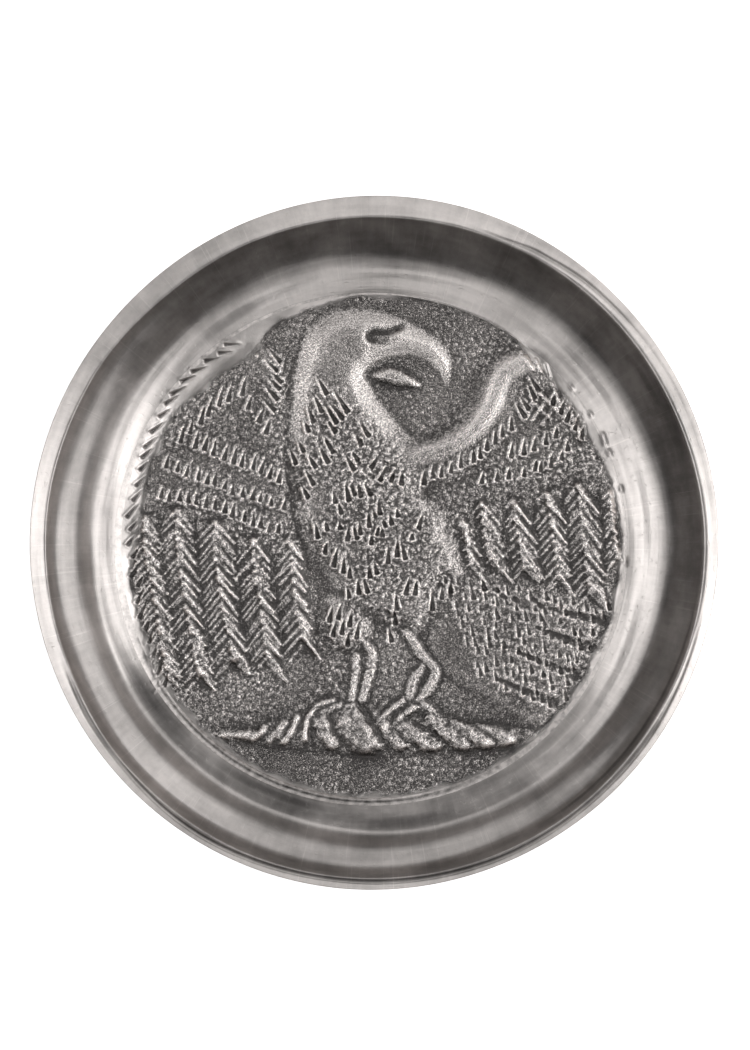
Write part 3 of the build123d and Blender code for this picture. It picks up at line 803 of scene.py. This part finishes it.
def casting_grain():
    """The sand's fine and coarse grain: patchy, rougher among the feathers, faint on smooth parts; mm."""
    patches = 1 + 0.35 * grain(23, 3.0)
    feathered = ramp(IN_BIRD, -0.5, 1.5) * (1 - SMOOTH)
    rough = (0.02 * grain(21, 0.08) + 0.028 * grain(22, 0.2)) * patches * (1 + 0.6 * feathered)
    return rough * (1 - 0.92 * BUFFED) * (1 - 0.55 * SMOOTH)


def worn_and_highlit_part():
    """How bright the dark casting has worn, with painted highlights added: most on edges, swellings and
    smooth parts, least in hollows and in the eye's painted shade.
    """
    edges = np.clip(TOP - blur(TOP, 0.4), -0.05, 0.2)
    swellings = TOP - blur(TOP, 1.5)
    # Darker towards the bottom of the relief.
    wear_and_highlight = 0.28 - 0.07 * ramp(-Y, 20, 34) + 3.6 * edges + 0.3 * swellings
    # Painted highlight: the smooth parts and the two folds are painted brighter, the neck's edges brighter
    # still.
    wear_and_highlight = wear_and_highlight + 0.15 * SMOOTH + 0.14 * NECK_EDGE_HIGHLIGHT * SMOOTH - 0.32 * HOLLOWS_AND_EYE_SHADE
    return np.clip(wear_and_highlight, 0, 1)


SMOOTH, NECK_EDGE_HIGHLIGHT = smooth_parts()
BUFFED = buffed_part()
TOP = bowl_height(X, Y) + RELIEF + casting_grain()
WEAR_AND_HIGHLIGHT = worn_and_highlit_part()


def sample(field, x, y):
    """Value of a raster field at any point, between the raster's own."""
    fx = np.clip((x + HALF_SIZE) / CELL, 0, COUNT - 1.001)
    fy = np.clip((y + HALF_SIZE) / CELL, 0, COUNT - 1.001)
    ix, iy = fx.astype(int), fy.astype(int)
    return bilinear(field, iy, iy + 1, ix, fy - iy, fx - ix)


def surface(x, y):
    """Height of the dish's and the joint's upper surface, with the marks that run over them."""
    return bowl_height(x, y) + sample(RELIEF, x, y)


# ------------ meshes

# Edges that turn more than this many degrees stay sharp.
SHARP_ANGLE = 60


def add_mesh(name, points, faces, material, node, attributes):
    """A smooth-shaded piece that replaces one CAD node; attributes hold a value for each point."""
    mesh = bpy.data.meshes.new(name)
    mesh.from_pydata((np.asarray(points) * MM).tolist(), [], faces)
    mesh.validate()
    mesh.shade_smooth()
    mesh.set_sharp_from_angle(angle=math.radians(SHARP_ANGLE))
    for key, values in attributes.items():
        layer = mesh.attributes.new(key, "FLOAT", "POINT")
        layer.data.foreach_set("value", np.asarray(values, np.float32))
    mesh.materials.append(material)
    piece = bpy.data.objects.new(name, mesh)
    bpy.context.collection.objects.link(piece)
    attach(piece, "root")
    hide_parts(node)


def ring_body(rings):
    """Points and faces of a closed body that runs through the rings, with a flat cap at both ends."""
    points = np.concatenate([np.stack(ring, -1) for ring in rings])
    faces = []
    for row in range(len(rings) - 1):
        a, b = row * SEGMENTS, (row + 1) * SEGMENTS
        for i in range(SEGMENTS):
            after = (i + 1) % SEGMENTS
            faces.append((b + i, b + after, a + after, a + i))
    faces.append(tuple(range(SEGMENTS)))
    faces.append(tuple(range(len(points) - SEGMENTS, len(points)))[::-1])
    return points, faces


# Points along one side of the relief's grid, and the wear on its side wall, which the joint hides.
RELIEF_GRID = 640
HIDDEN_WEAR = 0.2


def relief_mesh(material):
    """The relief disc: a square grid pressed into a disc on top, a side wall and a flat back."""
    side = np.linspace(-1, 1, RELIEF_GRID)
    u, v = np.meshgrid(side, side)
    x = RELIEF_CENTRE[0] + RELIEF_RADIUS * u * np.sqrt(1 - v**2 / 2)
    y = RELIEF_CENTRE[1] + RELIEF_RADIUS * v * np.sqrt(1 - u**2 / 2)
    z = sample(TOP, x, y)
    top = np.stack([x, y, z], -1).reshape(-1, 3)
    index = np.arange(len(top)).reshape(RELIEF_GRID, RELIEF_GRID)
    quads = np.stack([index[:-1, :-1], index[:-1, 1:], index[1:, 1:], index[1:, :-1]], -1).reshape(-1, 4)
    rim = np.concatenate([index[0, :-1], index[:-1, -1], index[-1, :0:-1], index[:0:-1, 0]])
    low = top[rim].copy()
    low[:, 2] = RELIEF_BOTTOM
    first = len(top)
    count = len(rim)
    faces = quads.tolist()
    for i in range(count):
        after = (i + 1) % count
        faces.append((int(rim[after]), int(rim[i]), first + i, first + after))
    faces.append(tuple(range(first + count - 1, first - 1, -1)))
    values = {
        "wear_and_highlight": np.concatenate([sample(WEAR_AND_HIGHLIGHT, x, y).ravel(), np.full(count, HIDDEN_WEAR)]),
        "buffed": np.concatenate([sample(BUFFED, x, y).ravel(), np.zeros(count)]),
    }
    add_mesh("relief", np.vstack([top, low]), faces, material, "relief_medallion", values)


# The worn arc of the joint at the lower left: its middle and half its length in degrees, and how deep it is.
ARC_MIDDLE = 246
ARC_HALF = 38
ARC_DEPTH = 0.3
WORN_ARC = np.exp(-(((np.degrees(ANGLES) - ARC_MIDDLE) / ARC_HALF) ** 4))
# Rings across the joint's upper surface.
SEAM_RINGS = 6


def circle(centre, radius):
    """x and y of the points of a ring."""
    return centre[0] + radius * np.cos(ANGLES), centre[1] + radius * np.sin(ANGLES)


def seam_mesh(material):
    """The solder: a film under the relief disc and a ring in the uneven gap round it."""
    inner = circle(RELIEF_CENTRE, RELIEF_RADIUS)
    outer = circle(SEAM_CENTRE, SEAM_RADIUS)
    rings = [(*inner, np.full(SEGMENTS, RELIEF_BOTTOM))]
    hollow = [0 * WORN_ARC]
    for k in range(SEAM_RINGS + 1):
        t = k / SEAM_RINGS
        x = inner[0] * (1 - t) + outer[0] * t
        y = inner[1] * (1 - t) + outer[1] * t
        sag = ARC_DEPTH * WORN_ARC * math.sin(math.pi * t) ** 0.8
        rings.append((x, y, surface(x, y) - sag))
        hollow.append(WORN_ARC * math.sin(math.pi * t) ** 2)
    rings.append((*outer, np.full(SEGMENTS, RECESS_Z)))
    hollow.append(0 * WORN_ARC)
    points, faces = ring_body(rings)
    hollow = np.maximum(np.concatenate(hollow), sample(HOLLOWS_AND_EYE_SHADE, points[:, 0], points[:, 1]))
    add_mesh("seam", points, faces, material, "solder_seam", {"hollow": hollow})


# Outside of the dish from the lip down to the foot ring, and the underside within it: radius and height.
OUTSIDE = (
    (55, 13.5), (54.85, 13), (54.5, 12.5), (53.9, 11.6), (53.4, 10.9), (52.7, 10), (51.9, 9.2),
    (50.8, 8.1), (49.4, 7), (48, 6.1), (46.3, 5), (44, 4), (41, 2.7), (38.6, 1.6), (38.2, 1), (38, 0.25),
    (37.7, 0), (35.1, 0), (34.8, 0.25), (34.8, 1.2), (34.4, UNDERSIDE_Z), (30, UNDERSIDE_Z),
    (20, UNDERSIDE_Z), (10, UNDERSIDE_Z),
)
TOP_RINGS = 150
# The lip's sharp corner is eased by this much inwards and downwards.
EASED_IN = 0.06
EASED_DOWN = 0.12
# Patina of the hidden recess under the disc, and of the outside.
RECESS_PATINA = 0.5
OUTSIDE_PATINA = 0.3


def dish_mesh(material):
    """The dish: recess, slope, steep wall, lip, outside, foot ring and underside."""
    level = np.ones(SEGMENTS)
    rim = around(ANGLES, OUTER_EDGE)
    x, y = circle(SEAM_CENTRE, SEAM_RADIUS)
    rings = [(x, y, level * RECESS_Z), (x, y, surface(x, y))]
    start, start_angle = np.hypot(x, y), np.arctan2(y, x)
    drift = (ANGLES - start_angle + np.pi) % (2 * np.pi) - np.pi
    for k in range(1, TOP_RINGS + 1):
        t = k / TOP_RINGS
        radius = start * (1 - t) + (rim - EASED_IN) * t
        angle = start_angle + drift * t
        px, py = radius * np.cos(angle), radius * np.sin(angle)
        rings.append((px, py, surface(px, py)))
    rings.append((rim * np.cos(ANGLES), rim * np.sin(ANGLES), rings[-1][2] - EASED_DOWN))
    stretch = rim / OUTER_RADIUS
    for radius, height in OUTSIDE:
        # The outline's wobble dies out towards the foot.
        wobble = 1 + (stretch - 1) * max(0.0, (radius - FOOT_RADIUS) / (OUTER_RADIUS - FOOT_RADIUS))
        rings.append((radius * wobble * np.cos(ANGLES), radius * wobble * np.sin(ANGLES), level * height))
    points, faces = ring_body(rings)
    # Patina and the steep wall's painted shade from the bowl's table, then the patina of the hollows.
    patina_and_shade = from_table(BOWL_PATINA_AND_SHADE, points[:, 0], points[:, 1])
    patina_and_shade = np.maximum(patina_and_shade, sample(HOLLOWS_AND_EYE_SHADE, points[:, 0], points[:, 1]))
    patina_and_shade[: 2 * SEGMENTS] = RECESS_PATINA
    patina_and_shade[(TOP_RINGS + 3) * SEGMENTS :] = OUTSIDE_PATINA
    add_mesh("dish", points, faces, material, "dish_body", {"patina_and_shade": patina_and_shade})


# ------------ materials


class Graph:
    """A short way to write a material's nodes."""

    def __init__(self, name):
        self.material = bpy.data.materials.new(name)
        self.material.use_nodes = True
        self.tree = self.material.node_tree
        self.shader = self.tree.nodes["Principled BSDF"]

    def node(self, kind, settings=None, **inputs):
        made = self.tree.nodes.new(kind)
        for key, value in (settings or {}).items():
            setattr(made, key, value)
        for key, value in inputs.items():
            self.feed(made.inputs[key.replace("_", " ")], value)
        return made

    def feed(self, socket, value):
        if isinstance(value, bpy.types.NodeSocket):
            self.tree.links.new(value, socket)
        else:
            socket.default_value = value

    def math(self, operation, a, b):
        made = self.tree.nodes.new("ShaderNodeMath")
        made.operation = operation
        self.feed(made.inputs[0], a)
        self.feed(made.inputs[1], b)
        return made.outputs[0]

    def place(self):
        return self.node("ShaderNodeTexCoord").outputs["Object"]

    def attribute(self, name):
        return self.node("ShaderNodeAttribute", {"attribute_name": name}).outputs["Fac"]

    def total(self, *parts):
        """Sum of values, each given with its weight."""
        weighted = [self.math("MULTIPLY", value, weight) for value, weight in parts]
        result = weighted[0]
        for part in weighted[1:]:
            result = self.math("ADD", result, part)
        return result

    def mix(self, factor, a, b):
        made = self.tree.nodes.new("ShaderNodeMix")
        made.data_type = "RGBA"
        self.feed(made.inputs["Factor"], factor)
        self.feed(made.inputs["A"], a)
        self.feed(made.inputs["B"], b)
        return made.outputs["Result"]

    def noise(self, vector, scale, detail=3.0, rough=0.5):
        made = self.node("ShaderNodeTexNoise", Vector=vector, Scale=scale, Detail=detail, Roughness=rough)
        return made.outputs["Fac"]

    def stretch(self, value, low, high, to_low=0.0, to_high=1.0):
        made = self.node(
            "ShaderNodeMapRange", From_Min=low, From_Max=high, To_Min=to_low, To_Max=to_high, Value=value
        )
        return made.outputs["Result"]

    def bump(self, height, strength, distance):
        made = self.node("ShaderNodeBump", Height=height, Strength=strength, Distance=distance)
        self.set("Normal", made.outputs[0])

    def set(self, name, value):
        self.feed(self.shader.inputs[name], value)


def round_coordinates(graph, turns, per_metre):
    """Coordinates for marks that run round the dish: direction from the centre, and the radius."""
    split = graph.node("ShaderNodeSeparateXYZ", Vector=graph.place())
    flat = graph.node("ShaderNodeCombineXYZ", X=split.outputs["X"], Y=split.outputs["Y"]).outputs[0]
    length = graph.node("ShaderNodeVectorMath", {"operation": "LENGTH"}, Vector=flat).outputs["Value"]
    turned = graph.node("ShaderNodeVectorMath", {"operation": "NORMALIZE"}, Vector=flat).outputs["Vector"]
    ends = graph.node("ShaderNodeSeparateXYZ", Vector=turned)
    return graph.node(
        "ShaderNodeCombineXYZ",
        X=graph.math("MULTIPLY", ends.outputs["X"], turns),
        Y=graph.math("MULTIPLY", ends.outputs["Y"], turns),
        Z=graph.math("MULTIPLY", length, per_metre),
    ).outputs[0]


CLEAN_DARK = (0.51, 0.479, 0.461, 1)
CLEAN_LIGHT = (0.86, 0.806, 0.776, 1)
PATINA_AND_SHADE_DARK = (0.104, 0.097, 0.0935, 1)
CAST_DARK = (0.088, 0.082, 0.079, 1)
CAST_BRIGHT = (1.0, 0.935, 0.9, 1)
FLOOR_GLOW = 0.75
# Depth of the finest unevenness, in metres.
BUFFED_BUMP = 0.00008
CAST_BUMP = 0.0001


def buffed_pewter():
    """Lathe-buffed metal: fine rings, soft smudges, faint scratches across them and a few pits."""
    g = Graph("buffed_pewter")
    place = g.place()
    patina_and_shade = g.attribute("patina_and_shade")
    rings = g.noise(round_coordinates(g, 3.0, 2200.0), 1.0, 4.0, 0.6)
    bands = g.noise(round_coordinates(g, 2.2, 500.0), 1.0, 3.0, 0.5)
    strokes = g.noise(round_coordinates(g, 45.0, 200.0), 1.0, 3.0, 0.6)
    smudge = g.noise(place, 90.0, 6.0, 0.65)
    scratches = g.stretch(g.noise(round_coordinates(g, 170.0, 110.0), 1.0, 2.0, 0.5), 0.62, 0.72)
    g.set("Metallic", 1.0)
    tone = g.total((smudge, 0.65), (bands, 0.25), (strokes, 0.1), (scratches, 0.06))
    clean = g.mix(g.stretch(tone, 0.38, 0.6), CLEAN_DARK, CLEAN_LIGHT)
    # Darkened by patina and by the painted shade of the steep wall.
    dulled_and_shaded = g.math("MULTIPLY", patina_and_shade, g.stretch(tone, 0.35, 0.65, 1.0, 0.7))
    g.set("Base Color", g.mix(dulled_and_shaded, clean, PATINA_AND_SHADE_DARK))
    rough = g.stretch(g.total((smudge, 1.0), (rings, 0.4)), 0.45, 0.95, 0.3, 0.44)
    g.set("Roughness", g.total((rough, 1.0), (patina_and_shade, 0.1)))
    pits = g.stretch(g.noise(place, 1100.0, 2.0, 0.5), 0.30, 0.36, -1.0, 0.0)
    g.bump(g.total((rings, 0.8), (bands, 1.0), (pits, 0.6)), 0.3, BUFFED_BUMP)
    return g.material


def cast_pewter():
    """Sand-cast metal: dark patina in the hollows and painted shade in the eye, worn bright on the high
    edges with painted highlights on the smooth parts, and buffed at the rim.
    """
    g = Graph("cast_pewter")
    place = g.place()
    wear_and_highlight = g.attribute("wear_and_highlight")
    buffed = g.attribute("buffed")
    grain_noise = g.noise(place, 4200.0, 2.0, 0.6)
    cloud = g.noise(place, 160.0, 3.0, 0.5)
    speckle, drift = g.math("SUBTRACT", grain_noise, 0.5), g.math("SUBTRACT", cloud, 0.5)
    # Wear together with the painted highlights and the eye's painted shade.
    worn_and_highlit = g.stretch(g.total((wear_and_highlight, 1.0), (speckle, 1.3), (drift, 0.3)), 0.1, 0.8)
    g.set("Metallic", 1.0)
    cast = g.mix(worn_and_highlit, CAST_DARK, CAST_BRIGHT)
    clean = g.mix(g.stretch(cloud, 0.38, 0.6), CLEAN_DARK, CLEAN_LIGHT)
    g.set("Base Color", g.mix(buffed, cast, clean))
    g.set("Roughness", g.total((g.stretch(worn_and_highlit, 0.0, 1.0, 0.26, 0.2), 1.0), (buffed, 0.14)))
    g.bump(grain_noise, g.math("SUBTRACT", 1.0, g.math("MULTIPLY", buffed, 0.85)), CAST_BUMP)
    return g.material


def soft_solder():
    """Filler metal in the joint: buffed flush with the dish, dark and pitted where it has worn hollow."""
    g = Graph("soft_solder")
    hollow = g.attribute("hollow")
    lumps = g.noise(g.place(), 900.0, 4.0, 0.6)
    g.set("Metallic", 1.0)
    clean = g.mix(g.stretch(lumps, 0.35, 0.6), CLEAN_DARK, CLEAN_LIGHT)
    dark = g.math("MULTIPLY", hollow, g.stretch(lumps, 0.3, 0.7, 1.0, 0.6))
    g.set("Base Color", g.mix(dark, clean, PATINA_AND_SHADE_DARK))
    g.set("Roughness", g.stretch(lumps, 0.3, 0.7, 0.34, 0.48))
    g.bump(lumps, 0.3, BUFFED_BUMP)
    return g.material


def pale_floor():
    """Plain pale floor, which glows a little as a lit backdrop does."""
    g = Graph("pale_floor")
    g.set("Base Color", g.mix(g.noise(g.place(), 40.0), (0.93, 0.93, 0.93, 1), (0.95, 0.95, 0.95, 1)))
    g.set("Roughness", 0.9)
    g.set("Emission Color", (1, 1, 1, 1))
    g.set("Emission Strength", FLOOR_GLOW)
    return g.material


# ------------ build the pieces

relief_mesh(cast_pewter())
seam_mesh(soft_solder())
dish_mesh(buffed_pewter())

# ------------ floor, light and camera

# Metres from here on. The floor lies just under the foot ring, so that the two don't share a plane.
FLOOR_SIZE = 8.0
FLOOR_LEVEL = -0.00005
# Height of what the view takes in at the level of the lip, and its middle.
VIEW_HEIGHT = 0.16715
VIEW_CENTRE = (0.00008, 0.00279)
# Focal length of the camera, and its sensor's size along the view's longer side, in mm.
LENS = 400.0
SENSOR = 36.0
# The camera sees nothing beyond this distance.
FAR_LIMIT = 20.0
# Light that comes evenly from all round.
ROOM_LIGHT = 0.045
# A light tent, open overhead: bright sides, weaker ends and a low glow at the far end. Each box has its
# direction round the dish and its tilt from overhead in degrees, its distance, width, depth and radiance.
SOFTBOXES = (
    ("light_right", -10, 43, 0.7, 0.44, 0.3, 1.9),
    ("glow_right", 10, 52, 0.72, 1.1, 0.56, 1.0),
    ("light_left", 184, 38, 0.7, 0.4, 0.28, 1.95),
    ("glow_left", 184, 38, 0.72, 0.8, 0.3, 0.55),
    ("light_near", 270, 38, 0.8, 0.56, 0.34, 1.05),
    ("light_far", 90, 33, 0.8, 0.6, 0.32, 0.9),
    ("glow_far", 90, 60, 0.8, 1.3, 0.5, 0.45),
)


def add_floor():
    """A wide pale sheet under the dish."""
    mesh = bpy.data.meshes.new("floor")
    half = FLOOR_SIZE / 2
    corners = ((-half, -half), (half, -half), (half, half), (-half, half))
    mesh.from_pydata([(x, y, FLOOR_LEVEL) for x, y in corners], [], [(0, 1, 2, 3)])
    mesh.materials.append(pale_floor())
    floor = bpy.data.objects.new("floor", mesh)
    bpy.context.collection.objects.link(floor)


def add_softbox(name, turn, tilt, distance, width, depth, radiance):
    """An area light that faces the dish."""
    lamp = bpy.data.lights.new(name, "AREA")
    lamp.shape = "RECTANGLE"
    lamp.size = width
    lamp.size_y = depth
    lamp.energy = radiance * math.pi * width * depth
    box = bpy.data.objects.new(name, lamp)
    a, t = math.radians(turn), math.radians(tilt)
    away = Vector((math.cos(a) * math.sin(t), math.sin(a) * math.sin(t), math.cos(t)))
    box.location = away * distance
    box.rotation_mode = "QUATERNION"
    box.rotation_quaternion = away.to_track_quat("Z", "Y")
    box.visible_camera = False
    bpy.context.collection.objects.link(box)


def add_lights():
    """The softboxes and the dim room."""
    for softbox in SOFTBOXES:
        add_softbox(*softbox)
    world = bpy.data.worlds.new("room")
    world.use_nodes = True
    world.node_tree.nodes["Background"].inputs["Color"].default_value = (1, 1, 1, 1)
    world.node_tree.nodes["Background"].inputs["Strength"].default_value = ROOM_LIGHT
    bpy.context.scene.world = world


def add_camera():
    """Straight above the dish, with a long lens."""
    data = bpy.data.cameras.new("camera")
    data.lens = LENS
    data.sensor_width = SENSOR
    data.dof.use_dof = False
    camera = bpy.data.objects.new("camera", data)
    camera.location = (*VIEW_CENTRE, HEIGHT * MM + VIEW_HEIGHT * LENS / SENSOR)
    data.clip_end = FAR_LIMIT
    bpy.context.collection.objects.link(camera)
    bpy.context.scene.camera = camera


add_floor()
add_lights()
add_camera()
bpy.context.scene.view_settings.view_transform = "Standard"
